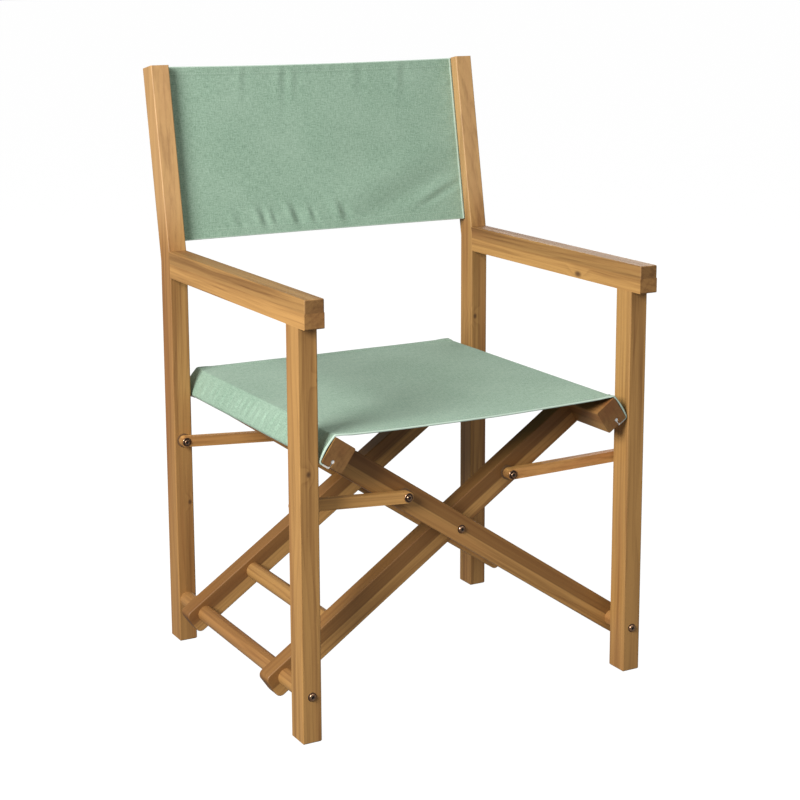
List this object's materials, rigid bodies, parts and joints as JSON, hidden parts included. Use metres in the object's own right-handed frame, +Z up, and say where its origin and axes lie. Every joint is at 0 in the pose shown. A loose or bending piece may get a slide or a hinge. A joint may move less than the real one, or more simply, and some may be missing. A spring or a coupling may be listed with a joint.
{
  "type": "director chair",
  "caption": "Folding wooden director chair with armrests, a slung canvas seat and back, crossed bars that fold sideways, and flat swinging links.",
  "frame": {"origin": "on the floor, under the middle of the whole chair's box, armrest fronts and post tops included", "axes": "+Z up, -Y the way the sitter faces, +X the sitter's left"},
  "size_m": [0.589, 0.5532, 0.8936],
  "materials": {
    "frame_wood": "oiled, satin",
    "link_wood": "oiled, satin",
    "canvas": "woven, matt",
    "bead": "plain",
    "washer": "plain",
    "hardware": "bronze plated"
  },
  "bodies": {
    "side_left": {"left_front_leg": "frame_wood", "left_back_leg": "frame_wood", "left_armrest_upper_board": "frame_wood", "left_armrest_lower_board": "frame_wood", "left_armrest_pins": "frame_wood", "left_pivot_dowel": "frame_wood", "left_dowel_screws": "hardware", "left_back_bead": "bead", "left_link_leg_screws": "hardware", "back_canvas": "canvas"},
    "side_right": {"right_front_leg": "frame_wood", "right_back_leg": "frame_wood", "right_armrest_upper_board": "frame_wood", "right_armrest_lower_board": "frame_wood", "right_armrest_pins": "frame_wood", "right_pivot_dowel": "frame_wood", "right_dowel_screws": "hardware", "right_back_bead": "bead", "right_link_leg_screws": "hardware"},
    "scissor_inner": {"inner_front_bar": "frame_wood", "inner_back_bar": "frame_wood", "right_seat_rail": "frame_wood", "inner_stretcher_dowel": "frame_wood", "right_seat_bead": "bead"},
    "scissor_outer": {"outer_front_bar": "frame_wood", "outer_back_bar": "frame_wood", "left_seat_rail": "frame_wood", "outer_stretcher_dowel": "frame_wood", "left_seat_bead": "bead", "pivot_bolts": "hardware", "pivot_washers": "washer", "pivot_nuts": "hardware", "seat_canvas": "canvas"},
    "link_left_front": {"left_front_link": "link_wood", "left_front_link_washers": "washer", "left_front_link_bar_screw": "hardware"},
    "link_left_back": {"left_back_link": "link_wood", "left_back_link_washers": "washer", "left_back_link_bar_screw": "hardware"},
    "link_right_front": {"right_front_link": "link_wood", "right_front_link_washers": "washer", "right_front_link_bar_screw": "hardware"},
    "link_right_back": {"right_back_link": "link_wood", "right_back_link_washers": "washer", "right_back_link_bar_screw": "hardware"}
  },
  "joints": [
    {"name": "fold", "type": "hinge", "parent": "side_left", "child": "scissor_inner", "pos_m": [-0.2655, -0.0156, 0.067], "axis": [0, -1, 0], "range_deg": [0, 27.8], "deforming": ["seat_canvas", "back_canvas"]},
    {"name": "cross_pivot", "type": "hinge", "parent": "scissor_inner", "child": "scissor_outer", "pos_m": [0, -0.0156, 0.248], "axis": [0, 1, 0], "range_deg": [0, 62]},
    {"name": "right_dowel_pivot", "type": "hinge", "parent": "scissor_outer", "child": "side_right", "pos_m": [0.2655, -0.0156, 0.067], "axis": [0, -1, 0], "range_deg": [0, 27.8]},
    {"name": "left_front_link_swing", "type": "hinge", "parent": "side_left", "child": "link_left_front", "pos_m": [-0.2655, -0.0156, 0.324], "axis": [0, -1, 0], "range_deg": [0, 54.7]},
    {"name": "left_back_link_swing", "type": "hinge", "parent": "side_left", "child": "link_left_back", "pos_m": [-0.2655, -0.0156, 0.324], "axis": [0, -1, 0], "range_deg": [0, 54.7]},
    {"name": "right_front_link_swing", "type": "hinge", "parent": "side_right", "child": "link_right_front", "pos_m": [0.2655, -0.0156, 0.324], "axis": [0, 1, 0], "range_deg": [0, 54.7]},
    {"name": "right_back_link_swing", "type": "hinge", "parent": "side_right", "child": "link_right_back", "pos_m": [0.2655, -0.0156, 0.324], "axis": [0, 1, 0], "range_deg": [0, 54.7]}
  ],
  "couplings": [
    {"joint": "cross_pivot", "follows": "fold", "ratio": 2.2301},
    {"joint": "right_dowel_pivot", "follows": "fold", "ratio": 1},
    {"joint": "left_front_link_swing", "follows": "fold", "ratio": 1.9674},
    {"joint": "left_back_link_swing", "follows": "fold", "ratio": 1.9674},
    {"joint": "right_front_link_swing", "follows": "fold", "ratio": 1.9674},
    {"joint": "right_back_link_swing", "follows": "fold", "ratio": 1.9674}
  ]
}
